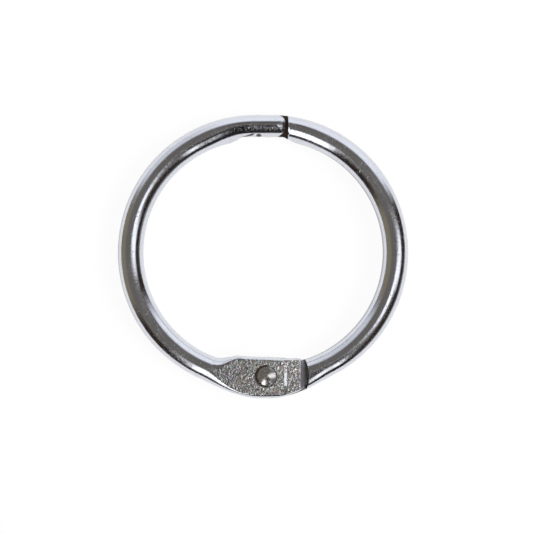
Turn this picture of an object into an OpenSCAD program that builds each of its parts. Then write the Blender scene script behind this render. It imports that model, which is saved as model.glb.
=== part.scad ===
// Hinged binder ring, closed and lying flat on z = 0, its hinge at -Y and its closure at +Y.
// Two half rings of round wire lie turned over on each other. Each has a coined hinge blade at one
// end and a lapped snap tongue at the other, and one rivet joins the two blades.

/* [Ring] */
// Clear width inside the closed ring
inner_w = 25.4; // [20:0.1:52]
// Diameter of the round wire
wire_d = 2.7; // [2.4:0.1:3.2]
// Straight run between the two bends, at the hinge and at the closure
straight_run = 1.6; // [0.8:0.1:3]

/* [Hinge blade] */
// Width of the flattened blade across the rivet
blade_w = 4.4; // [4:0.1:5.4]
// Rivet axis to the blade's rounded free end
blade_reach = 4.25; // [4:0.05:5.5]
// Narrowing of the inner edge from the rivet to the free end
tip_taper = 0.58; // [0:0.02:0.7]
// Start of that narrowing, before the rivet axis
taper_lead = 1.5; // [0:0.1:2]
// Rivet axis to where the front blade's inner edge reaches its full width
front_full = 3; // [2:0.1:3.4]
// Rivet axis to where the rear blade's inner edge reaches its full width
rear_full = 2; // [1.4:0.1:2.6]
// Rivet axis to where both outer edges reach their full width
outer_full = 0.3; // [0.2:0.1:1.5]
// Start of the front blade's inner flare, beyond the free end's turning circle
front_lead = 1.7; // [1.2:0.05:2]
// Start of the rear blade's inner flare, beyond the free end's turning circle
rear_lead = 0.5; // [0.3:0.05:0.8]
// Start of both outer flares, beyond the free end's turning circle
outer_lead = 2.6; // [1.2:0.05:3]
// Corner rounding of the free end, in plan
tip_corner_r = 0.7; // [0.4:0.05:1]
// Gap between a blade's free end and the shoulder of the other half
shoulder_gap = 0.2; // [0.15:0.05:0.4]
// Gap between the two blades, and between the two tongues
lap_gap = 0.04; // [0.02:0.01:0.1]
// Squareness of the blade's inner edge, 2 being round
inner_edge = 4.5; // [3:0.1:6]
// Squareness of the blade's outer edge, 2 being round
outer_edge = 3.4; // [2.2:0.1:4]
// Rivet axis to where both outer edges reach that squareness
outer_square = 2.5; // [1.5:0.1:3.4]

/* [Coining] */
// Depth of the coined face below the top of the wire
coin_depth = 0.25; // [0.15:0.01:0.35]
// Start of the slope down to the coined face, beyond the free end's turning circle
ramp_lead = 1.45; // [0.5:0.05:1.6]
// Length of the slope from the top of the wire down to the coined face
ramp_len = 3; // [1:0.1:4]
// Rivet axis to the step near the free end
step_reach = 1.95; // [1.8:0.05:2.6]
// Drop of that step
step_drop = 0.08; // [0.05:0.01:0.2]
// Length of that step's slope
step_len = 0.22; // [0.1:0.01:0.4]
// Length of the bevel at the free end
bevel_len = 0.65; // [0.4:0.01:0.8]
// Drop of that bevel
bevel_drop = 0.38; // [0.2:0.02:0.5]

/* [Rivet] */
// Rivet axis inside the wire's centreline, towards the middle of the ring
rivet_inset = 0.2; // [0:0.02:0.3]
// Rivet axis to the right of the ring's middle
rivet_shift = 0.31; // [0:0.01:0.4]
// Diameter of the rivet's shank
shank_d = 1.3; // [1:0.05:1.5]
// Running clearance round the shank, on the radius
shank_clear = 0.04; // [0.02:0.01:0.08]
// Diameter of the two rivet heads
head_d = 1.96; // [1.7:0.02:2.1]
// Straight edge of a head, under its dome
head_edge = 0.06; // [0.03:0.01:0.1]
// Height of a head's dome
dome_h = 0.2; // [0.1:0.01:0.22]
// End play of the rivet
end_play = 0.03; // [0.02:0.01:0.05]
// Depth of the dished seat round a head
dish_depth = 0.15; // [0.05:0.01:0.18]
// Flat ring left in the seat round a head
dish_margin = 0.12; // [0.08:0.01:0.2]
// Width of the seat's sloping wall
dish_slope = 0.1; // [0.05:0.01:0.3]

/* [Snap closure] */
// Length of the lap, from one half's step to the other's
lap_len = 5.24; // [4.6:0.02:6]
// Gap between a tongue's round nose and the step it faces
nose_gap = 0.22; // [0.1:0.01:0.4]
// Radius of the dome over the top of a nose
nose_dome_r = 2; // [1.6:0.1:3]
// Material shaved off the inner side along the lap
lap_shave = 0.36; // [0.2:0.01:0.4]
// Middle of the closure to the root end of the shaved side
shave_reach = 2.1; // [1.9:0.05:2.5]
// Rise of the slope at that end, per unit of its length
shave_rise = 0.5; // [0.5:0.05:1]
// Middle of the closure to each snap ridge
ridge_reach = 0.55; // [0.45:0.01:0.75]
// Radius of the snap ridge
ridge_r = 0.3; // [0.2:0.01:0.35]
// Depth of the ridge's axis inside its own tongue
ridge_sink = 0.1; // [0.05:0.01:0.15]
// Clearance of a ridge in its groove
snap_clear = 0.05; // [0.03:0.01:0.08]

/* [Hidden] */
$fn = 96;

wire_r = wire_d / 2;
bend_r = (inner_w - straight_run) / 2 + wire_r;
run_half = straight_run / 2;
mating_z = lap_gap / 2;
coin_z = wire_r - coin_depth;
tip_z = coin_z - step_drop;
seat_z = coin_z - dish_depth;
shoulder_r = blade_reach + shoulder_gap;
bore_r = shank_d / 2 + shank_clear;
seat_r = head_d / 2 + dish_margin;
lap_half = lap_len / 2;
nose_x = lap_half - nose_gap;

// A nose's half round is a little wider than the tongue, so that it cuts the tongue's sides at an angle
nose_spare = 0.03;
nose_r = wire_r - lap_shave / 2 + nose_spare;
nose_top = sqrt(pow(wire_r, 2) - pow(lap_shave / 2, 2)) + nose_spare / 4;

// The blade widens from the wire over these stretches, given as distances from the rivet axis
front_neck = blade_reach + front_lead;
rear_neck = blade_reach + rear_lead;
outer_neck = blade_reach + outer_lead;
ramp_start = blade_reach + ramp_lead;

// The blade's blank starts just under the skin of the wire, so that the two join cleanly
skin = 0.003;
spare = 0.1;
overlap = 0.05;
wire_end = outer_neck + rivet_shift + spare;
blank_end = blade_reach + spare;
sides = 48;
ring_pitch = 0.3;
corner_rings = 6;
far = 3 * wire_d;

// The ring lies on z = 0 with the middle of its outline over the origin
ring_middle = [0, (blade_w / 2 - skin - wire_r) / 2, wire_r];

steel = [0.66, 0.66, 0.67];
rivet_steel = [0.6, 0.6, 0.61];

function smooth(t) = let (c = max(0, min(1, t))) c * c * (3 - 2 * c);
function ease(s, from, to) = smooth((s - from) / (to - from));
function power(x, e) = sign(x) * pow(abs(x), e);

// The closed ring's centreline near the hinge, s along it from the ring's middle, negative to the left
function bend_angle(s) = max(0, abs(s) - run_half) / bend_r * 180 / PI;
function outward(s) = [sign(s) * sin(bend_angle(s)), -cos(bend_angle(s)), 0];
function centre(s) = [sign(s) * min(abs(s), run_half), 0, 0] + bend_r * outward(s);

// Half width of the blank on one side, d along it from the rivet axis and negative towards the wire.
// The outer edge flares and narrows the same way on both sides of the rivet. The rear blade's inner
// edge keeps within the front blade's, so that the front blade covers it.
function corner_loss(d) =
    let (t = max(0, min(1, (d - blank_end + tip_corner_r) / tip_corner_r)))
    tip_corner_r * (1 - sqrt(1 - t * t));
function taper(d) = tip_taper * pow(max(0, d + taper_lead) / (blade_reach + taper_lead), 2);
function outer_width(d) = (blade_w / 2 - wire_r) * ease(-abs(d), -outer_neck, -outer_full);
function inner_flare(d, front) = front ? ease(d, -front_neck, -front_full) : ease(d, -rear_neck, -rear_full);
function inner_width(d, front) =
    (blade_w / 2 - wire_r - taper(front ? d : abs(d))) * inner_flare(d, front);

// Cross-section of the blank at s, a circle in the wire that grows squarer as it flattens. The rivet
// axis is at shift, and front tells the front blade from the rear one.
function section(s, shift, front) = [
    for (i = [0 : sides - 1])
        let (
            angle = 360 * i / sides,
            d = s - shift,
            outer = cos(angle) > 0,
            flare = outer ? ease(d, -outer_neck, -outer_square) : inner_flare(d, front),
            width = wire_r - skin + (outer ? outer_width(d) : inner_width(d, front)) - corner_loss(d),
            e = 2 / (2 + ((outer ? outer_edge : inner_edge) - 2) * flare)
        )
        centre(s)
        + width * power(cos(angle), e) * outward(s)
        + [0, 0, (wire_r - skin) * power(sin(angle), e)]
];

// Closed solid through a list of rings that all have the same number of points
module loft(rings) {
    n = len(rings[0]);
    last = (len(rings) - 1) * n;
    polyhedron(
        points = [for (ring = rings) each ring],
        faces = [
            [for (i = [n - 1 : -1 : 0]) i],
            for (k = [0 : len(rings) - 2], i = [0 : n - 1])
                let (a = k * n + i, b = k * n + (i + 1) % n)
                each [[a, b, a + n], [b, b + n, a + n]],
            [for (i = [0 : n - 1]) last + i]
        ]
    );
}

module blade_blank(shift, front) {
    flare_start = -wire_end - overlap;
    corner_start = blank_end + shift - tip_corner_r;
    rings = ceil((corner_start - flare_start) / ring_pitch);
    loft([
        for (k = [0 : rings - 1])
            section(flare_start + (corner_start - flare_start) * k / rings, shift, front),
        for (k = [0 : corner_rings])
            section(corner_start + tip_corner_r * sin(85 * k / corner_rings), shift, front)
    ]);
}

// Everything above the coined face, seen from the side: slope, face, step down, tip face and bevel
module above_coining() {
    rotate([90, 0, 0]) linear_extrude(height = 2 * far, center = true)
        polygon([
            [-ramp_start, wire_r],
            [-ramp_start + ramp_len, coin_z],
            [step_reach, coin_z],
            [step_reach + step_len, tip_z],
            [blade_reach - bevel_len, tip_z],
            [blade_reach, tip_z - bevel_drop],
            [far, tip_z - bevel_drop],
            [far, far],
            [-ramp_start, far]
        ]);
}

// Space that the other half's blade turns in, behind this blade
module turning_space() {
    translate([0, 0, mating_z - far]) cylinder(h = far, r = shoulder_r);
}

// Everything past the blade's free end
module past_free_end() {
    difference() {
        translate([0, -far, -far]) cube([far, 2 * far, 2 * far]);
        translate([0, 0, -far]) cylinder(h = 2 * far, r = blade_reach);
    }
}

module rivet_hole() {
    translate([0, 0, -far]) cylinder(h = 2 * far, r = bore_r);
    translate([0, 0, seat_z]) cylinder(h = dish_depth, r1 = seat_r, r2 = seat_r + dish_slope);
    translate([0, 0, coin_z]) cylinder(h = far, r = seat_r + dish_slope);
}

module hinge_blade(shift, front) {
    difference() {
        blade_blank(shift, front);
        translate([shift, rivet_inset - bend_r, 0]) {
            above_coining();
            turning_space();
            past_free_end();
            rivet_hole();
        }
    }
}

// Everything that the tongue may fill: all before its nose, and the nose's half round under its dome
module nose_outline() {
    translate([-far, -far, -far]) cube([far, 2 * far, 2 * far]);
    intersection() {
        translate([0, 0, -far]) cylinder(h = 2 * far, r = nose_r);
        translate([0, 0, nose_top - nose_dome_r]) sphere(nose_dome_r);
    }
}

// Round wire from the hinge round to the closure, ending in a nose that is round in plan
module bent_wire() {
    translate([-run_half, 0, 0]) rotate([0, 0, 90])
        rotate_extrude(angle = 180 - bend_angle(wire_end)) translate([bend_r, 0]) circle(wire_r);
    intersection() {
        translate([-run_half, bend_r, 0]) rotate([0, 90, 0])
            cylinder(h = nose_x + run_half + spare, r = wire_r);
        translate([nose_x - nose_r, bend_r + lap_shave / 2, 0]) nose_outline();
    }
}

module cross_rod(x, z, r) {
    translate([x, bend_r + far, z]) rotate([90, 0, 0]) cylinder(h = 2 * far, r = r);
}

// Space under the tongue for the other half's tongue, less this tongue's own snap ridge
module lap_space() {
    difference() {
        translate([-lap_half, bend_r - far, mating_z - far]) cube([far, 2 * far, far]);
        cross_rod(ridge_reach, mating_z + ridge_sink, ridge_r);
    }
}

// Strip shaved off the inner side along the lap, with a slope at its root end
module inner_shaving() {
    flat_y = bend_r - wire_r + lap_shave;
    foot_y = flat_y - wire_d * shave_rise;
    translate([0, 0, -far]) linear_extrude(height = 2 * far)
        polygon([
            [-shave_reach - wire_d, foot_y],
            [-shave_reach, flat_y],
            [lap_half, flat_y],
            [lap_half, foot_y]
        ]);
}

module half_ring(shift, front) {
    difference() {
        bent_wire();
        lap_space();
        cross_rod(-ridge_reach, -mating_z - ridge_sink, ridge_r + snap_clear);
        inner_shaving();
    }
    hinge_blade(shift, front);
}

module left_half_ring() {
    color(steel) translate(ring_middle) half_ring(rivet_shift, true);
}

module right_half_ring() {
    color(steel) translate(ring_middle) rotate([0, 180, 0]) half_ring(-rivet_shift, false);
}

// Domed head that sits on z = 0
module rivet_head() {
    head_r = head_d / 2;
    dome_r = (head_r * head_r + dome_h * dome_h) / (2 * dome_h);
    intersection() {
        cylinder(h = head_edge + dome_h, r = head_r);
        translate([0, 0, head_edge + dome_h - dome_r]) sphere(dome_r);
    }
}

module hinge_rivet() {
    color(rivet_steel) translate(ring_middle + [rivet_shift, rivet_inset - bend_r, 0]) {
        translate([0, 0, -seat_z - end_play - head_edge / 2])
            cylinder(h = 2 * seat_z + end_play + head_edge, d = shank_d);
        translate([0, 0, seat_z]) rivet_head();
        translate([0, 0, -seat_z - end_play]) rotate([180, 0, 0]) rivet_head();
    }
}

left_half_ring();
right_half_ring();
hinge_rivet();
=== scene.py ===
import bpy
import math
import numpy as np
from mathutils import Matrix, Vector, noise


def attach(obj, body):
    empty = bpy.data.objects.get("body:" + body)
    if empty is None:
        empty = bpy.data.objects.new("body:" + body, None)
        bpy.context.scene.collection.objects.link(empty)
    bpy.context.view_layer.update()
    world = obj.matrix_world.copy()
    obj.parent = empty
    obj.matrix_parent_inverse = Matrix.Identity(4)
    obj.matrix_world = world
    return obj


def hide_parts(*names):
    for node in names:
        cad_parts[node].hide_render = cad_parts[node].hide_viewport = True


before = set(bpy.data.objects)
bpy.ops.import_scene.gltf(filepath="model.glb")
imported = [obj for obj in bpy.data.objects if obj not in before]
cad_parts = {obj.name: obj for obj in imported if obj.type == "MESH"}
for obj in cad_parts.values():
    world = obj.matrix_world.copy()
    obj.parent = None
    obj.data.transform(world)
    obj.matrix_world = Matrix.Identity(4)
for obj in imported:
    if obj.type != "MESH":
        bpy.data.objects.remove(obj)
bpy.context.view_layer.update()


# HALF RINGS
# Each half is one length of round steel wire, bent to a half circle and plated with bright nickel.
# One end is pressed flat into a hinge blade with a coined face and punched for the rivet, the other
# is cut to half its thickness for a round-nosed snap tongue. The right half lies turned over.
MM = 0.001

# The bent wire, in millimetres, with a short straight run at the hinge and at the closure.
INNER_W = 25.4
WIRE_D = 2.7
STRAIGHT_RUN = 1.6
LAP_GAP = 0.04
WIRE_R = WIRE_D / 2
RUN_HALF = STRAIGHT_RUN / 2
BEND_R = (INNER_W - STRAIGHT_RUN) / 2 + WIRE_R
CLOSURE_START = RUN_HALF + math.pi * BEND_R
MATING_Z = LAP_GAP / 2


def ease(t):
    """Smooth step from 0 to 1."""
    t = np.clip(t, 0.0, 1.0)
    return t * t * (3 - 2 * t)


def soft_min(a, b, k):
    """The lesser of two values, with the corner between them rounded over a difference of k."""
    h = np.clip(k - np.abs(a - b), 0.0, None) / k
    return np.minimum(a, b) - h * h * k / 4


def soft_max(a, b, k):
    """The greater of two values, rounded in the same way."""
    return -soft_min(-a, -b, k)


def beside_wire(s, u):
    """Plan points u mm outside the centreline, s mm along it to the right from the hinge's middle."""
    a = np.sign(s) * np.maximum(np.abs(s) - RUN_HALF, 0.0) / BEND_R
    a = np.maximum(a, -math.pi)
    past = np.maximum(-s - CLOSURE_START, 0.0)
    x = np.clip(s, -RUN_HALF, RUN_HALF) + (BEND_R + u) * np.sin(a) + past
    return x, -(BEND_R + u) * np.cos(a)


# The hinge blade: the rivet's place in it, its reach past the rivet, and where each side flares out.
RIVET_SHIFT = 0.31
RIVET_INSET = 0.2
BLADE_W, BLADE_SKIN = 4.4, 0.003
BLADE_HALF_W = BLADE_W / 2 - BLADE_SKIN
BLADE_REACH, TURNING_GAP = 4.25, 0.2
TURNING_R = BLADE_REACH + TURNING_GAP
HINGE_LEAD = 8.0
FRONT_NECK, FRONT_FULL = BLADE_REACH + 1.7, 3.0
REAR_NECK, REAR_FULL = BLADE_REACH + 0.5, 2.0
OUTER_NECK, OUTER_FULL, OUTER_SQUARE = BLADE_REACH + 2.6, 0.3, 2.5
TIP_TAPER, TAPER_LEAD = 0.58, 1.5
TIP_CORNER_START, TIP_CORNER_R = BLADE_REACH - 0.6, 0.7
SWEEP_START = 1.5

# The power of the section's curve: 2 is the round wire, and more is squarer.
ROUND_EDGE, INNER_EDGE, OUTER_EDGE = 2.0, 4.5, 3.4

# The closed ring lies on the table with its outline centred on the frame.
RING_MIDDLE = np.array([0.0, (BLADE_HALF_W - WIRE_R) / 2, WIRE_R])


def blade_flare(d, front):
    """Half widths and edge powers of the outer and inner side, d mm past the rivet along the wire."""
    if d <= -OUTER_NECK:
        return (WIRE_R, WIRE_R), (ROUND_EDGE, ROUND_EDGE)
    spread = BLADE_HALF_W - WIRE_R
    neck, full = (FRONT_NECK, FRONT_FULL) if front else (REAR_NECK, REAR_FULL)
    inner = float(ease((d + neck) / (neck - full)))
    outer = float(ease((OUTER_NECK - abs(d)) / (OUTER_NECK - OUTER_FULL)))
    square = float(ease((d + OUTER_NECK) / (OUTER_NECK - OUTER_SQUARE)))
    past_lead = max(0.0, (d if front else abs(d)) + TAPER_LEAD)
    taper = TIP_TAPER * (past_lead / (BLADE_REACH + TAPER_LEAD)) ** 2
    corner = min(max((d - TIP_CORNER_START) / TIP_CORNER_R, 0.0), 0.99)
    lost = TIP_CORNER_R * (1 - math.sqrt(1 - corner * corner))
    widths = (WIRE_R + spread * outer - lost, WIRE_R + (spread - taper) * inner - lost)
    outer_power = ROUND_EDGE + (OUTER_EDGE - ROUND_EDGE) * square
    inner_power = ROUND_EDGE + (INNER_EDGE - ROUND_EDGE) * inner
    return widths, (outer_power, inner_power)


def at_reach(reach, u, pivot):
    """Where along the wire a line u mm outside the centreline is reach mm from the rivet, to its right."""
    lead, r = RUN_HALF - pivot[0], BEND_R + u
    c, d = 2 * lead * r, 2 * r * pivot[1]
    e = reach ** 2 - lead ** 2 - r ** 2 - pivot[1] ** 2
    a = np.arcsin(np.clip(e / np.hypot(c, d), -1, 1)) - np.arctan2(d, c)
    return RUN_HALF + BEND_R * a


def along_blade(s, d, u, pivot):
    """Where along the wire a section's points lie: near the tip they bend into an arc round the rivet."""
    if d <= SWEEP_START:
        return np.full_like(u, s)
    x, y = beside_wire(np.array([s]), np.array([0.0]))
    reach = math.hypot(x[0] - pivot[0], y[0] - pivot[1])
    return s + ease((d - SWEEP_START) / (BLADE_REACH - SWEEP_START)) * (at_reach(reach, u, pivot) - s)


# The coined face: a long ramp down from the wire, a flat, a low bowed step and a bevelled tip.
RAMP_START, RAMP_LEN, RAMP_ROUND = -BLADE_REACH - 1.45, 3.0, 0.03
COIN_DEPTH, STEP_DROP = 0.25, 0.08
COIN_Z = WIRE_R - COIN_DEPTH
TIP_Z = COIN_Z - STEP_DROP
PRESS_ROUND = 0.06
STEP_REACH, STEP_LEN = 1.95, 0.22
STEP_STRAIGHT, STEP_END, STEP_BOW = 0.95, 0.85, 0.5
BEVEL_LEN, BEVEL_DROP, BEVEL_ROUND = 0.65, 0.38, 0.02
BEVEL_START = BLADE_REACH - BEVEL_LEN


def coined_height(across, u):
    """Height of the pressed face over the wire's middle plane, across mm to the right of the rivet."""
    ramp = WIRE_R - (WIRE_R - COIN_Z) * (across - RAMP_START) / RAMP_LEN
    bowed = STEP_BOW * (np.clip(np.abs(u + RIVET_INSET) - STEP_STRAIGHT, 0.0, None) / STEP_END) ** 2
    step = np.clip((across - STEP_REACH + bowed) / STEP_LEN, 0.0, 1.0)
    z = soft_max(ramp, COIN_Z, RAMP_ROUND) - (COIN_Z - TIP_Z) * step
    return soft_min(z, TIP_Z - (across - BEVEL_START) * BEVEL_DROP / BEVEL_LEN, BEVEL_ROUND)


# The coined grain fades in down the ramp, stops at the bevel and is nearly lost on the slope of the step.
# From the middle of the ramp on, the face is also made lighter and its facets steeper.
PRESS_FADE, PRESS_LEAD = 0.05, 0.4
RAMP_FADE, BEVEL_FADE = 0.5, 0.1
STEP_LOSS, STEP_FADE = 0.9, 0.4
STEP_INNER, STEP_INNER_FADE = -0.9, 0.7
TIPWARD_START, TIPWARD_FADE = -3.6, 2.6


def coining(across, u, above, upper):
    """How coined a blade is, and how far on towards its tip, where its blank stood above mm over the
    pressed face.
    """
    coined = ease(above / PRESS_FADE + PRESS_LEAD) * upper * ease((across - RAMP_START) / RAMP_FADE)
    coined *= 1 - ease((across - BEVEL_START) / BEVEL_FADE)
    step = (across - STEP_REACH) / STEP_LEN
    on_step = ease((step + STEP_FADE) / STEP_FADE) * ease((1 + STEP_FADE - step) / STEP_FADE)
    coined *= 1 - STEP_LOSS * on_step * ease((u - STEP_INNER) / STEP_INNER_FADE)
    return coined, coined * ease((across - TIPWARD_START) / TIPWARD_FADE)


# The tongue: its inner side is shaved thinner, its nose is round with a low dome, and a ridge and a
# groove across its mating face snap into those of the other half.
LAP_LEN, LAP_LEAD = 5.24, 6.0
LAP_HALF = LAP_LEN / 2
LAP_SHAVE, SHAVE_REACH, SHAVE_RISE = 0.36, 2.1, 0.5
LEAN_REACH, LEAN_LEN, LEAN_ROUND = 5.3, 2.9, 0.2
SHAVED_EDGE_H = 0.7
UNDER_SHARE, UNDER_FADE = 0.5, 0.4
NOSE_GAP, NOSE_SPARE = 0.22, 0.03
NOSE_X = LAP_HALF - NOSE_GAP
NOSE_R = WIRE_R - LAP_SHAVE / 2 + NOSE_SPARE
NOSE_TOP = math.sqrt(WIRE_R ** 2 - (LAP_SHAVE / 2) ** 2) + NOSE_SPARE / 4
NOSE_DOME_R = 2.0
NOSE_START = CLOSURE_START + RUN_HALF + NOSE_X - NOSE_R
NOSE_LEAST_W = 0.02
RIDGE_X, RIDGE_R, RIDGE_SINK, SNAP_CLEAR = 0.55, 0.3, 0.1, 0.05
GROOVE_R = RIDGE_R + SNAP_CLEAR
CUT_DROP = 1.6
# Within LAP_SHADE of the lap's end wall the mating face is painted dark as shade.
LAP_WALL_FADE, LAP_SHADE = 0.05, 0.9


def shave_tongue(s, u, z):
    """Draws in the inner side of a section: its upper part sooner along the wire than its edge, and
    before the lap its underside by only half as much."""
    x, y = beside_wire(np.array([s]), np.array([-WIRE_R]))
    edge = BEND_R - WIRE_R + LAP_SHAVE + min(0.0, (x[0] + SHAVE_REACH) * SHAVE_RISE) - y[0]
    begun = soft_max((x[0] + LEAN_REACH) / LEAN_LEN, 0.0, LEAN_ROUND)
    lean = LAP_SHAVE * float(soft_min(begun, 1.0, LEAN_ROUND))
    inward = lean + (max(0.0, edge) - lean) * ease(1 - np.abs(z) / SHAVED_EDGE_H)
    if x[0] < -LAP_HALF:
        inward *= 1 - UNDER_SHARE * ease(-z / UNDER_FADE)
    crest = np.abs(u) < inward / 2
    z = np.where(crest, np.sign(z) * np.sqrt(WIRE_R ** 2 - inward ** 2 / 4), z)
    return np.where(crest, inward / 2, u + inward * (u < 0)), z


def round_nose(s, u, z):
    """Trims a section to the half round end of the tongue and to the dome over it."""
    ahead = -s - NOSE_START
    if ahead <= 0:
        return u, z
    middle = LAP_SHAVE / 2
    half_w = math.sqrt(max(NOSE_R ** 2 - ahead ** 2, NOSE_LEAST_W ** 2))
    u = np.clip(u, middle - half_w, middle + half_w)
    off = np.minimum(np.hypot(ahead, u - middle), NOSE_R)
    return u, np.minimum(z, NOSE_TOP - NOSE_DOME_R + np.sqrt(NOSE_DOME_R ** 2 - off ** 2))


def tongue_floor(x):
    """Height of a tongue's mating face with its ridge and groove, and where it is near the end wall, where
    shade is painted.
    """
    floor = MATING_Z - CUT_DROP * ease((-LAP_HALF - x) / LAP_WALL_FADE)
    wall = ease((LAP_SHADE - LAP_HALF - x) / LAP_WALL_FADE)
    ridge = MATING_Z + RIDGE_SINK - np.sqrt(np.clip(RIDGE_R ** 2 - (x - RIDGE_X) ** 2, 0.0, None))
    floor = np.where(np.abs(x - RIDGE_X) < RIDGE_R, np.minimum(floor, ridge), floor)
    groove = -MATING_Z - RIDGE_SINK + np.sqrt(np.clip(GROOVE_R ** 2 - (x + RIDGE_X) ** 2, 0.0, None))
    return np.where(np.abs(x + RIDGE_X) < GROOVE_R, np.maximum(floor, groove), floor), wall


# A slanting streak and a spot at the foot of the front tongue's side are painted dark as the shade of the
# gap between the tongues, and shaving has scuffed a band below the crest of both tongues.
STREAK_X, STREAK_HALF_LEN, STREAK_END_FADE = -1.6, 0.75, 0.4
STREAK_Z, STREAK_HALF_H, STREAK_FADE, STREAK_SLOPE = 0.5, 0.2, 0.12, 0.4
SPOT_X, SPOT_Z, SPOT_LEN, SPOT_H = -0.45, 0.5, 0.24, 0.26
SPOT_REACH, SPOT_FADE = 1.4, 0.7
SCUFF_SHARE = 0.45
SCUFF_START, SCUFF_START_FADE, SCUFF_END, SCUFF_END_FADE = -2.4, 0.8, 2.3, 0.4
SCUFF_LOW, SCUFF_LOW_FADE, SCUFF_HIGH, SCUFF_HIGH_FADE = 0.9, 0.12, 1.31, 0.05


def painted_gap_shade(x, z):
    """How much painted shade, standing for the gap between the tongues, lies on the front tongue's side.
    """
    streak = ease((STREAK_HALF_H - np.abs(z - STREAK_Z - STREAK_SLOPE * (x - STREAK_X))) / STREAK_FADE)
    streak *= ease((STREAK_HALF_LEN - np.abs(x - STREAK_X)) / STREAK_END_FADE)
    off_spot = np.hypot((x - SPOT_X) / SPOT_LEN, (z - SPOT_Z) / SPOT_H)
    return np.maximum(streak, ease((SPOT_REACH - off_spot) / SPOT_FADE))


def scuffed_side(x, z):
    """How scuffed a tongue's side is."""
    length = ease((x - SCUFF_START) / SCUFF_START_FADE) * ease((SCUFF_END - x) / SCUFF_END_FADE)
    height = ease((z - SCUFF_LOW) / SCUFF_LOW_FADE) * ease((SCUFF_HIGH - z) / SCUFF_HIGH_FADE)
    return SCUFF_SHARE * length * height


# A section is drawn finely and then set out evenly, with more points over the crest than below.
SECTION_STEPS = 2400
UPPER_POINTS, LOWER_POINTS = 120, 72
NO_FLOOR = -9.0
HINGE_WALL_FADE = 0.08
MATING_DULL, BEVEL_DULL, BEVEL_DULL_FADE = 0.3, 0.2, 0.06


def even_points(curve, masks, count):
    """Points at even steps along a curve, without its last one, and the masks there."""
    steps = np.linalg.norm(np.diff(curve, axis=0), axis=1) + 1e-9
    length = np.concatenate([[0.0], np.cumsum(steps)])
    want = np.linspace(0.0, length[-1], count + 1)[:-1]
    points = np.stack([np.interp(want, length, column) for column in curve.T], 1)
    return points, np.stack([np.interp(want, length, column) for column in masks.T], 1)


def half_ring_section(s, shift, front):
    """A half ring's section at s: points from the outer side over the crest and back under, and for each
    of them how coined it is, how far on towards the tip, and its mask of dull cut faces and painted shade."""
    pivot = np.array([shift, RIVET_INSET - BEND_R])
    d = s - shift
    at_lap = -s > CLOSURE_START - LAP_LEAD
    turn = np.linspace(0.0, 2 * math.pi, SECTION_STEPS + 1)[:-1]
    c, sn = np.cos(turn), np.sin(turn)
    upper = sn > 0
    (outer_w, inner_w), (outer_power, inner_power) = blade_flare(d, front)
    e = 2 / np.where(c > 0, outer_power, inner_power)
    u = np.where(c > 0, outer_w, inner_w) * np.sign(c) * np.abs(c) ** e
    z = WIRE_R * np.sign(sn) * np.abs(sn) ** e
    if at_lap:
        u, z = shave_tongue(s, u, z)
        u, z = round_nose(s, u, z)
    x, y = beside_wire(along_blade(s, d, u, pivot), u)
    across = x - pivot[0]

    coined, tipward, wall = np.zeros_like(z), np.zeros_like(z), np.zeros_like(z)
    floor = np.full_like(z, NO_FLOOR)
    if d > -HINGE_LEAD:
        top = coined_height(across, u)
        coined, tipward = coining(across, u, z - top, upper)
        z = np.where(z > 0, soft_min(z, top, PRESS_ROUND), z)
        wall = ease((np.hypot(across, y - pivot[1]) - TURNING_R) / HINGE_WALL_FADE)
        floor = MATING_Z - CUT_DROP * wall
    if at_lap:
        floor, wall = tongue_floor(x)
    # The mating faces are dull. Near the walls, down in the gaps, they are painted dark as shade. The
    # bevelled tip is a little dull.
    cut_and_shade = (z < floor) * (MATING_DULL + (1 - MATING_DULL) * (wall > 0.01))
    if at_lap:
        side = upper * (c < 0)
        coined = scuffed_side(x, z) * side
        # Painted shade of the gap between the tongues, in a streak and a spot on the front tongue's side.
        cut_and_shade = np.maximum(cut_and_shade, front * side * painted_gap_shade(x, z))
    if d > 0:
        cut_and_shade = np.maximum(cut_and_shade, BEVEL_DULL * ease((across - BEVEL_START) / BEVEL_DULL_FADE) * upper)
    z = np.maximum(z, floor)

    curve, masks = np.stack([x, y, z], 1), np.stack([coined, tipward, cut_and_shade], 1)
    halves = []
    for half, count in ((sn >= 0, UPPER_POINTS), (sn < 0, LOWER_POINTS)):
        loop = np.nonzero(half)[0]
        loop = np.append(loop, (loop[-1] + 1) % SECTION_STEPS)
        halves.append(even_points(curve[loop], masks[loop], count))
    points, point_masks = zip(*halves)
    return np.concatenate(points), np.concatenate(point_masks)


def stops(at, *pairs):
    """Places along the wire from at: each pair is an end and the spacing up to it."""
    out = []
    for end, pitch in pairs:
        n = max(1, round((end - at) / pitch))
        out += [at + (end - at) * k / n for k in range(n)]
        at = end
    return out


# The press leaves a grain of small slanting facets, steeper from the middle of the ramp on towards the
# tip. The seed keeps them the same on each run.
GRAIN_W, GRAIN_LEN = 0.19, 0.27
GRAIN_COS, GRAIN_SIN = 0.88, 0.47
GRAIN_TILT, TIPWARD_TILT = 0.055, 0.035
GRAIN_MIXING = 5.3
GRAIN_LEAST = 0.02
GRAIN_SEED = 2
noise.seed_set(GRAIN_SEED)


def press_grain(verts, masks):
    """Tilts the coined points by the facet each of them lies in."""
    for i in np.nonzero(masks[:, 0] > GRAIN_LEAST)[0]:
        x, y, z = verts[i]
        over = (x * GRAIN_COS - y * GRAIN_SIN) / GRAIN_W
        up = (x * GRAIN_SIN + y * GRAIN_COS) / GRAIN_LEN
        at = Vector((over, up, 0.0))
        facet = noise.voronoi(at)[1][0]
        lean, off = noise.noise_vector(facet * GRAIN_MIXING), at - facet
        tilt = (GRAIN_TILT + TIPWARD_TILT * masks[i, 1]) * masks[i, 0]
        verts[i, 2] += tilt * (lean.x * off.x + lean.y * off.y)


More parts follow.
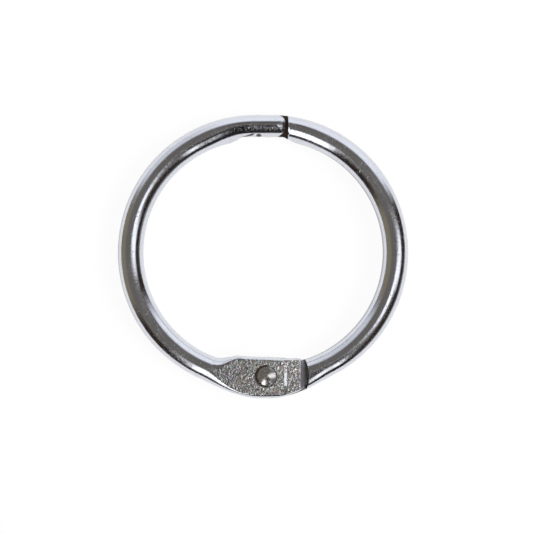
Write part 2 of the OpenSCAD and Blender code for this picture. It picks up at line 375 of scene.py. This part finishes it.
# The rivet hole, with a dished seat for the rivet's head.
SHANK_R, SHANK_CLEAR = 0.65, 0.04
HEAD_R, DISH_MARGIN = 0.98, 0.12
DISH_DEPTH, DISH_SLOPE = 0.15, 0.1
BORE_R = SHANK_R + SHANK_CLEAR
SEAT_R = HEAD_R + DISH_MARGIN
DISH_R = SEAT_R + DISH_SLOPE
SEAT_Z = COIN_Z - DISH_DEPTH
CUTTER_END = 3.0
CUTTER_SIDES = 96


def rivet_cutter(shift):
    """The punched rivet hole with its dished seat, as a round tool to be taken out of a blade."""
    outline = [(BORE_R, -CUTTER_END), (BORE_R, SEAT_Z), (SEAT_R, SEAT_Z)]
    outline += [(DISH_R, COIN_Z), (DISH_R, CUTTER_END)]
    verts = []
    for r, z in outline:
        for a in np.linspace(0, 2 * math.pi, CUTTER_SIDES + 1)[:-1]:
            x, y = r * math.cos(a) + shift, r * math.sin(a) + RIVET_INSET - BEND_R
            verts.append((x * MM, y * MM, z * MM))
    faces = []
    for k in range(len(outline) - 1):
        low, high = k * CUTTER_SIDES, (k + 1) * CUTTER_SIDES
        for i in range(CUTTER_SIDES):
            j = (i + 1) % CUTTER_SIDES
            faces.append((low + i, low + j, high + j, high + i))
    faces.append(tuple(range(CUTTER_SIDES - 1, -1, -1)))
    faces.append(tuple(range(len(verts) - CUTTER_SIDES, len(verts))))
    mesh = bpy.data.meshes.new("cutter")
    mesh.from_pydata(verts, [], faces)
    cutter = bpy.data.objects.new("cutter", mesh)
    bpy.context.collection.objects.link(cutter)
    return cutter


# The painted shadow of the rivet's head in its seat: its depth down the bore, its margin past the dish,
# the lip it stops short of, and its fade.
SHADE_BORE, SHADE_MARGIN, SHADE_LIP, SHADE_FADE = 0.45, 0.01, 0.004, 0.5


def punch_hole(piece, shift):
    """Cuts the rivet hole, and paints shade into the dished seat on the side towards the wire, as the
    shadow of the rivet's head.
    """
    punch = piece.modifiers.new("rivet_hole", "BOOLEAN")
    punch.operation = "DIFFERENCE"
    punch.solver = "EXACT"
    punch.object = rivet_cutter(shift)
    punched = bpy.data.meshes.new_from_object(piece.evaluated_get(bpy.context.evaluated_depsgraph_get()))
    bpy.data.objects.remove(punch.object)
    piece.modifiers.clear()
    piece.data = punched
    # Painted shadow of the rivet's head: the seat is darkened on the side towards the wire, fading out
    # past the middle.
    for point, value in zip(punched.vertices, punched.attributes["cut_and_shade"].data):
        x, y, z = point.co / MM - Vector((shift, RIVET_INSET - BEND_R, 0.0))
        r = math.hypot(x, y)
        if r < DISH_R + SHADE_MARGIN and SEAT_Z - SHADE_BORE < z < COIN_Z - SHADE_LIP:
            value.value = float(ease((SHADE_FADE - x / r) / SHADE_FADE))


SHARP_ANGLE = math.radians(40)
NOSE_RINGS, NOSE_SWEEP = 30, math.radians(88)
MASK_NAMES = ("coined", "tipward", "cut_and_shade")


def half_ring(name, shift, front):
    """One half ring in its own place. The rear one is turned over about the line from hinge to closure."""
    pivot = np.array([shift, RIVET_INSET - BEND_R])
    tip = float(at_reach(BLADE_REACH, np.array([0.0]), pivot)[0])
    # The sections lie closest at the tip, at the hinge's wall and at the lap's wall.
    root, lap = TURNING_R - shift, CLOSURE_START + RUN_HALF - LAP_HALF
    places = stops(-tip, (-BEVEL_START - shift, 0.04), (root - 0.4, 0.06), (root + 0.6, 0.035),
                   (root + 1.6, 0.07), (root + 3.5, 0.15), (lap - 3.4, 0.45), (lap - 0.3, 0.12),
                   (lap + 0.25, 0.02), (lap + 1.0, 0.08), (NOSE_START, 0.06))
    places += [NOSE_START + NOSE_R * math.sin(NOSE_SWEEP * k / NOSE_RINGS) for k in range(NOSE_RINGS + 1)]
    rings, masks = zip(*(half_ring_section(-q, shift, front) for q in places))
    rings, masks = list(rings), list(masks)

    # The blade's end face is closed by rings that draw in to its middle, and the nose by one point.
    first, last = rings[0], rings[-1]
    for shrink in (0.9, 0.5):
        rings.insert(0, first.mean(0) + (first - first.mean(0)) * shrink)
        masks.insert(0, np.zeros((len(first), 3)))
    verts = np.concatenate(rings + [[first.mean(0)], [last.mean(0)]])
    masks = np.concatenate(masks + [np.zeros((2, 3))])
    press_grain(verts, masks)

    per, count = UPPER_POINTS + LOWER_POINTS, len(rings)
    last_ring = (count - 1) * per
    faces = []
    for k in range(count - 1):
        for i in range(per):
            j = (i + 1) % per
            faces.append((k * per + i, k * per + j, (k + 1) * per + j, (k + 1) * per + i))
    faces += [(count * per, (i + 1) % per, i) for i in range(per)]
    faces += [(count * per + 1, last_ring + i, last_ring + (i + 1) % per) for i in range(per)]
    mesh = bpy.data.meshes.new(name)
    mesh.from_pydata((verts * MM).tolist(), [], faces)
    for k, mask in enumerate(MASK_NAMES):
        values = mesh.attributes.new(mask, "FLOAT", "POINT").data
        values.foreach_set("value", masks[:, k].astype(np.float32))
    piece = bpy.data.objects.new(name, mesh)
    bpy.context.collection.objects.link(piece)
    punch_hole(piece, shift)

    over = Matrix.Identity(4) if front else Matrix.Rotation(math.pi, 4, "Y")
    piece.data.transform(Matrix.Translation(Vector(RING_MIDDLE * MM)) @ over)
    piece.data.shade_smooth()
    piece.data.set_sharp_from_angle(angle=SHARP_ANGLE)
    return piece


def maths(tree, kind, a, b=0.0):
    """A math node's value, from two numbers or sockets."""
    node = tree.nodes.new("ShaderNodeMath")
    node.operation = kind
    for socket, value in zip(node.inputs, (a, b)):
        if isinstance(value, (int, float)):
            socket.default_value = value
        else:
            tree.links.new(value, socket)
    return node.outputs[0]


def smooth_span(tree, value, low, high, to_low=0.0, to_high=1.0):
    """A smooth step of a value, from to_low at low to to_high at high."""
    node = tree.nodes.new("ShaderNodeMapRange")
    node.interpolation_type = "SMOOTHSTEP"
    for key, number in (("From Min", low), ("From Max", high), ("To Min", to_low), ("To Max", to_high)):
        node.inputs[key].default_value = number
    tree.links.new(value, node.inputs["Value"])
    return node.outputs["Result"]


def mixed(tree, kind, mask, first, second):
    """A mix of two numbers, colours or sockets by a mask."""
    node = tree.nodes.new("ShaderNodeMix")
    node.data_type = kind
    tree.links.new(mask, node.inputs["Factor"])
    for name, value in (("A", first), ("B", second)):
        socket = [i for i in node.inputs if i.name == name and i.enabled][0]
        if isinstance(value, float):
            socket.default_value = value
        elif isinstance(value, tuple):
            socket.default_value = (*value, 1.0)
        else:
            tree.links.new(value, socket)
    return [o for o in node.outputs if o.enabled][0]


def plating_group():
    """Nickel plate under a hand lens: a faint orange peel, pits, cloudy polish and hair scratches."""
    g = bpy.data.node_groups.new("nickel_plating", "ShaderNodeTree")
    g.interface.new_socket("Place", in_out="INPUT", socket_type="NodeSocketVector")
    g.interface.new_socket("Pits", in_out="INPUT", socket_type="NodeSocketFloat")
    for name in ("Shade", "Roughness", "Height"):
        g.interface.new_socket(name, in_out="OUTPUT", socket_type="NodeSocketFloat")
    gin, gout = g.nodes.new("NodeGroupInput"), g.nodes.new("NodeGroupOutput")

    def noise_at(place, scale, detail):
        texture = g.nodes.new("ShaderNodeTexNoise")
        texture.inputs["Scale"].default_value = scale
        texture.inputs["Detail"].default_value = detail
        g.links.new(place, texture.inputs["Vector"])
        return texture.outputs["Fac"]

    def scratches_along(stretch, turn, low, high):
        mapping = g.nodes.new("ShaderNodeMapping")
        mapping.inputs["Scale"].default_value = stretch
        mapping.inputs["Rotation"].default_value = (0, 0, turn)
        g.links.new(gin.outputs["Place"], mapping.inputs["Vector"])
        return smooth_span(g, noise_at(mapping.outputs["Vector"], 1, 1), low, high)

    # The scales are per metre.
    place = gin.outputs["Place"]
    peel = noise_at(place, 2600, 2)
    cloud = noise_at(place, 420, 3)
    pits = maths(g, "MULTIPLY", smooth_span(g, noise_at(place, 6500, 1), 0.66, 0.76), gin.outputs["Pits"])
    scratches = maths(g, "MAXIMUM", scratches_along((900, 26000, 900), 0.7, 0.68, 0.76),
                      scratches_along((24000, 800, 900), 0.25, 0.7, 0.78))

    polish = smooth_span(g, cloud, 0.3, 0.7, 0.94, 1.0)
    g.links.new(maths(g, "SUBTRACT", polish, maths(g, "MULTIPLY", pits, 0.35)), gout.inputs["Shade"])
    plain_rough = smooth_span(g, cloud, 0.3, 0.7, 0.11, 0.17)
    marks = maths(g, "MAXIMUM", pits, maths(g, "MULTIPLY", scratches, 0.4))
    g.links.new(maths(g, "ADD", plain_rough, maths(g, "MULTIPLY", marks, 0.16)), gout.inputs["Roughness"])
    height = maths(g, "SUBTRACT", maths(g, "MULTIPLY", peel, 0.5), maths(g, "MULTIPLY", pits, 0.5))
    height = maths(g, "SUBTRACT", height, maths(g, "MULTIPLY", scratches, 0.04))
    g.links.new(height, gout.inputs["Height"])
    return g


plating = plating_group()


def plated(name, peel_depth):
    """A new metal with the plating placed in it, its peel as a bump of peel_depth metres."""
    metal = bpy.data.materials.new(name)
    metal.use_nodes = True
    n, l = metal.node_tree.nodes, metal.node_tree.links
    n["Principled BSDF"].inputs["Metallic"].default_value = 1.0
    plate = n.new("ShaderNodeGroup")
    plate.node_tree = plating
    plate.inputs["Pits"].default_value = 1.0
    l.new(n.new("ShaderNodeTexCoord").outputs["Object"], plate.inputs["Place"])
    peel = n.new("ShaderNodeBump")
    peel.inputs["Distance"].default_value = peel_depth
    l.new(plate.outputs["Height"], peel.inputs["Height"])
    l.new(peel.outputs["Normal"], n["Principled BSDF"].inputs["Normal"])
    return metal, plate


WIRE_PIT, WIRE_BRIGHT = (0.2, 0.19, 0.19), (0.71, 0.73, 0.785)
CUT_STEEL_AND_SHADE = (0.16, 0.125, 0.1)
COINED_ROUGH, CUT_ROUGH, CUT_ROUGH_FULL = 0.24, 0.62, 0.25
GLINT_SCALE, GLINT_SATURATION, GLINT_GAMMA = 5400, 0.28, 0.65
GLINT_VALUE, GLINT_TIPWARD = 0.46, 0.68


def wire_nickel():
    """Bright plate on the wire, a glittering grain where the press has coined it, dull cut faces, and
    painted shade in the gaps by the walls, in the rivet's seat and on the front tongue's side.
    """
    metal, plate = plated("bright_nickel_wire", 0.01 * MM)
    tree = metal.node_tree
    n, l = tree.nodes, tree.links
    masks = {}
    for name in MASK_NAMES:
        attribute = n.new("ShaderNodeAttribute")
        attribute.attribute_name = name
        masks[name] = attribute.outputs["Fac"]

    grain = n.new("ShaderNodeTexVoronoi")
    grain.inputs["Scale"].default_value = GLINT_SCALE
    l.new(n.new("ShaderNodeTexCoord").outputs["Object"], grain.inputs["Vector"])
    tint = n.new("ShaderNodeHueSaturation")
    tint.inputs["Saturation"].default_value = GLINT_SATURATION
    # The grain is made lighter from the middle of the ramp on towards the tip.
    tipward_lift = maths(tree, "MULTIPLY", masks["tipward"], GLINT_TIPWARD)
    l.new(maths(tree, "ADD", tipward_lift, GLINT_VALUE), tint.inputs["Value"])
    l.new(grain.outputs["Color"], tint.inputs["Color"])
    glint = n.new("ShaderNodeGamma")
    glint.inputs["Gamma"].default_value = GLINT_GAMMA
    l.new(tint.outputs["Color"], glint.inputs["Color"])
    bright = mixed(tree, "RGBA", plate.outputs["Shade"], WIRE_PIT, WIRE_BRIGHT)
    coined = mixed(tree, "RGBA", masks["coined"], bright, glint.outputs["Color"])
    # Dull cut faces and painted shade share one mask: shade in the gaps by the walls, in the rivet's seat
    # and in a streak and spot on the front tongue.
    colour = mixed(tree, "RGBA", masks["cut_and_shade"], coined, CUT_STEEL_AND_SHADE)
    l.new(colour, n["Principled BSDF"].inputs["Base Color"])

    dull = n.new("ShaderNodeMapRange")
    dull.inputs["From Max"].default_value = CUT_ROUGH_FULL
    l.new(masks["cut_and_shade"], dull.inputs["Value"])
    rough = mixed(tree, "FLOAT", masks["coined"], plate.outputs["Roughness"], COINED_ROUGH)
    rough = mixed(tree, "FLOAT", dull.outputs["Result"], rough, CUT_ROUGH)
    l.new(rough, n["Principled BSDF"].inputs["Roughness"])
    return metal


nickel = wire_nickel()
left = half_ring("left_half_wire", RIVET_SHIFT, True)
right = half_ring("right_half_wire", -RIVET_SHIFT, False)
for piece, body, node in ((left, "left_half", "left_half_ring"), (right, "right_half", "right_half_ring")):
    piece.data.materials.append(nickel)
    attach(piece, body)
    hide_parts(node)


# HINGE RIVET
# A short solid rivet of the same plated steel, set cold through both blades. Its two low domed
# heads sit in the dished seats, and the blows of the press leave them slightly uneven.
RIVET_AT = RING_MIDDLE + np.array([RIVET_SHIFT, RIVET_INSET - BEND_R, 0.0])
END_PLAY = 0.03
HEAD_EDGE, DOME_H = 0.06, 0.2
DOME_EDGE = 0.97 * HEAD_R
RIM_R, RIM_H = 0.03 * HEAD_R, 0.6 * HEAD_EDGE
RIM_BREAK = 0.01
DOME_RINGS, RIM_RINGS, ROUND = 18, 4, 72
DENT_DEPTH, DENT_SIZE, DENT_BIAS, DENT_STRETCH = 0.02, 0.55, 0.25, 3
UPPER_ASIDE = 0.06


def rivet_outline():
    """Half outline of the rivet from the top of the upper dome to the lower one, as (radius, height)."""
    dome_r = (HEAD_R ** 2 + DOME_H ** 2) / (2 * DOME_H)
    head = []
    for k in range(DOME_RINGS + 1):
        r = DOME_EDGE * k / DOME_RINGS
        head.append((r, HEAD_EDGE + DOME_H - dome_r + math.sqrt(dome_r ** 2 - r * r)))
    for k in range(1, RIM_RINGS + 1):
        a = math.pi / 2 * k / RIM_RINGS
        head.append((DOME_EDGE + RIM_R * math.sin(a), RIM_H + RIM_H * math.cos(a)))
    head += [(HEAD_R, RIM_BREAK), (HEAD_R - RIM_BREAK, 0.0), (SHANK_R + 0.1, 0.0), (SHANK_R, 0.0)]
    upper = [(r, z + SEAT_Z) for r, z in head]
    lower = [(r, -z - SEAT_Z - END_PLAY) for r, z in reversed(head)]
    return upper + lower


outline = rivet_outline()
rivet_verts = []
for r, z in outline:
    for i in range(ROUND):
        a = 2 * math.pi * i / ROUND
        x, y, z_here = r * math.cos(a), r * math.sin(a), z
        if abs(z) > SEAT_Z + 0.05:
            dent = noise.noise(Vector((x / DENT_SIZE, y / DENT_SIZE, z * DENT_STRETCH))) - DENT_BIAS
            z_here = z + DENT_DEPTH * math.copysign(1, z) * dent
        aside = UPPER_ASIDE if z > SEAT_Z else 0.0
        rivet_verts.append(tuple((RIVET_AT + np.array([x + aside, y, z_here])) * MM))
rivet_faces = []
for k in range(len(outline) - 1):
    for i in range(ROUND):
        j = (i + 1) % ROUND
        rivet_faces.append((k * ROUND + i, (k + 1) * ROUND + i, (k + 1) * ROUND + j, k * ROUND + j))
rivet_mesh = bpy.data.meshes.new("hinge_rivet_set")
rivet_mesh.from_pydata(rivet_verts, [], rivet_faces)
rivet_mesh.validate()
rivet_mesh.shade_smooth()
rivet = bpy.data.objects.new("hinge_rivet_set", rivet_mesh)
bpy.context.collection.objects.link(rivet)

RIVET_PIT, RIVET_BRIGHT = (0.2, 0.19, 0.18), (0.7, 0.685, 0.67)
RIVET_ROUGHER = 0.08


def rivet_nickel():
    """The same plate on the rivet, a little warmer and rougher from the setting."""
    metal, plate = plated("rivet_nickel", 0.02 * MM)
    tree = metal.node_tree
    shader = tree.nodes["Principled BSDF"]
    colour = mixed(tree, "RGBA", plate.outputs["Shade"], RIVET_PIT, RIVET_BRIGHT)
    tree.links.new(colour, shader.inputs["Base Color"])
    rough = maths(tree, "ADD", plate.outputs["Roughness"], RIVET_ROUGHER)
    tree.links.new(rough, shader.inputs["Roughness"])
    return metal


rivet.data.materials.append(rivet_nickel())
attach(rivet, "left_half")
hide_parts("hinge_rivet")


# TABLE AND LIGHT
# A white table in a dim brown room. A pale wall behind the closure and four lit windows draw the bright
# lines along the wire, and a dark patch by the hinge draws the dark ones. A sun casts the soft shadow.
TABLE_HALF = 3
TABLE_WHITE = (0.92, 0.92, 0.92, 1)
SEEN_SHARE, MIRRORED_SHARE = 0.95, 0.36
table_mesh = bpy.data.meshes.new("table")
corners = [(x * TABLE_HALF, y * TABLE_HALF, 0) for x, y in ((-1, -1), (1, -1), (1, 1), (-1, 1))]
table_mesh.from_pydata(corners, [], [(0, 1, 2, 3)])
table = bpy.data.objects.new("table", table_mesh)
bpy.context.collection.objects.link(table)

# The table glows white to the camera, and less in the reflections on the metal.
white = bpy.data.materials.new("white_table")
white.use_nodes = True
n, l = white.node_tree.nodes, white.node_tree.links
paper = n["Principled BSDF"]
paper.inputs["Base Color"].default_value = TABLE_WHITE
paper.inputs["Roughness"].default_value = 0.9
paper.inputs["Specular IOR Level"].default_value = 0.0
ray = n.new("ShaderNodeLightPath").outputs
reflected = maths(white.node_tree, "MAXIMUM", ray["Is Glossy Ray"], ray["Is Transmission Ray"])
mirrored = maths(white.node_tree, "MULTIPLY", reflected, MIRRORED_SHARE)
seen = maths(white.node_tree, "MULTIPLY", ray["Is Camera Ray"], SEEN_SHARE)
glow = n.new("ShaderNodeEmission")
glow.inputs["Color"].default_value = (1, 1, 1, 1)
glow.inputs["Strength"].default_value = 1.0
mix = n.new("ShaderNodeMixShader")
l.new(maths(white.node_tree, "ADD", seen, mirrored), mix.inputs["Fac"])
l.new(paper.outputs["BSDF"], mix.inputs[1])
l.new(glow.outputs["Emission"], mix.inputs[2])
l.new(mix.outputs["Shader"], n["Material Output"].inputs["Surface"])
table_mesh.materials.append(white)

world = bpy.data.worlds.new("room")
bpy.context.scene.world = world
world.use_nodes = True
sky = world.node_tree
way = sky.nodes.new("ShaderNodeTexCoord").outputs["Generated"]


def axes_of(vector):
    """The x, y and z of a direction."""
    node = sky.nodes.new("ShaderNodeSeparateXYZ")
    sky.links.new(vector, node.inputs["Vector"])
    return node.outputs


def cosine(degrees):
    return math.cos(math.radians(degrees))


def window(azimuth, half_width, soft, from_zenith, to_zenith, edge):
    """Mask of a strip at an azimuth, from one angle off the zenith to another, all in degrees."""
    turn = sky.nodes.new("ShaderNodeVectorRotate")
    turn.rotation_type = "Z_AXIS"
    turn.inputs["Angle"].default_value = -math.radians(azimuth)
    sky.links.new(way, turn.inputs["Vector"])
    x, y, z = axes_of(turn.outputs["Vector"])
    aside = maths(sky, "ABSOLUTE", maths(sky, "ARCTAN2", y, x))
    wide = smooth_span(sky, aside, math.radians(half_width + soft), math.radians(half_width - soft))
    high = smooth_span(sky, z, cosine(from_zenith - edge), cosine(from_zenith + edge))
    low = smooth_span(sky, z, cosine(to_zenith + edge), cosine(to_zenith - edge))
    return maths(sky, "MULTIPLY", wide, maths(sky, "MULTIPLY", high, low))


# The dim room, paler far to the left and overhead, and the wall behind the closure. They are placed
# by the cosine and the sine of the azimuth, to_right and behind.
x, y, z = axes_of(way)
level = maths(sky, "SQRT", maths(sky, "SUBTRACT", 1.0, maths(sky, "MULTIPLY", z, z)))
level = maths(sky, "MAXIMUM", level, 0.001)
to_right = maths(sky, "DIVIDE", x, level)
behind = maths(sky, "DIVIDE", y, level)
far_left = smooth_span(sky, to_right, -0.84, -0.97)
low_room = mixed(sky, "RGBA", far_left, (0.035, 0.025, 0.02), (0.26, 0.225, 0.165))
room = mixed(sky, "RGBA", smooth_span(sky, z, 0.6, 0.86), low_room, (0.165, 0.152, 0.138))
wall_top = maths(sky, "ADD", z, maths(sky, "MULTIPLY", smooth_span(sky, behind, 0.9, 1.0), 0.1))
wall = maths(sky, "MULTIPLY", smooth_span(sky, wall_top, 0.8, 0.55), smooth_span(sky, behind, 0.33, 0.62))
wall_left = smooth_span(sky, to_right, -0.1, -0.6)
wall_light = mixed(sky, "RGBA", wall_left, (1.05, 1.07, 1.13), (0.75, 0.765, 0.81))
room = mixed(sky, "RGBA", wall, room, wall_light)

# A dim low glow to the right, the dark patch, a window on each side of it, and two windows to the right.
for strip, light in (((335, 24, 18, 84, 100, 12), (0.5, 0.51, 0.55)),
                     ((283, 24, 5, 9, 88, 6), (0.02, 0.016, 0.016)),
                     ((250, 10, 2.5, 20, 63, 7), (2.3, 2.3, 2.3)),
                     ((301, 3.5, 2.5, 30, 58, 7), (1.9, 1.9, 1.9)),
                     ((-17, 17, 6, 4, 29, 7), (1.6, 1.6, 1.65)),
                     ((-2, 13, 6, 18, 47, 8), (1.4, 1.4, 1.45))):
    room = mixed(sky, "RGBA", window(*strip), room, light)
sky.links.new(room, sky.nodes["Background"].inputs["Color"])
sky.nodes["Background"].inputs["Strength"].default_value = 1.0

daylight = bpy.data.objects.new("daylight", bpy.data.lights.new("daylight", "SUN"))
daylight.data.energy = 3.2
daylight.data.angle = math.radians(25)
daylight.rotation_euler = (0, math.radians(48), math.radians(-10))
daylight.visible_glossy = False
bpy.context.collection.objects.link(daylight)

# The camera looks straight down and takes in VIEW_W at the height of the wire's middle plane.
AIM_X, AIM_Y, VIEW_W = 0.36, -1.06, 56.57
camera = bpy.data.cameras.new("camera")
camera.lens = 85
camera.sensor_width = 36
camera_at = bpy.data.objects.new("camera", camera)
bpy.context.collection.objects.link(camera_at)
height = WIRE_R + VIEW_W * camera.lens / camera.sensor_width
camera_at.location = (AIM_X * MM, AIM_Y * MM, height * MM)
bpy.context.scene.camera = camera_at
bpy.context.scene.view_settings.view_transform = "Standard"
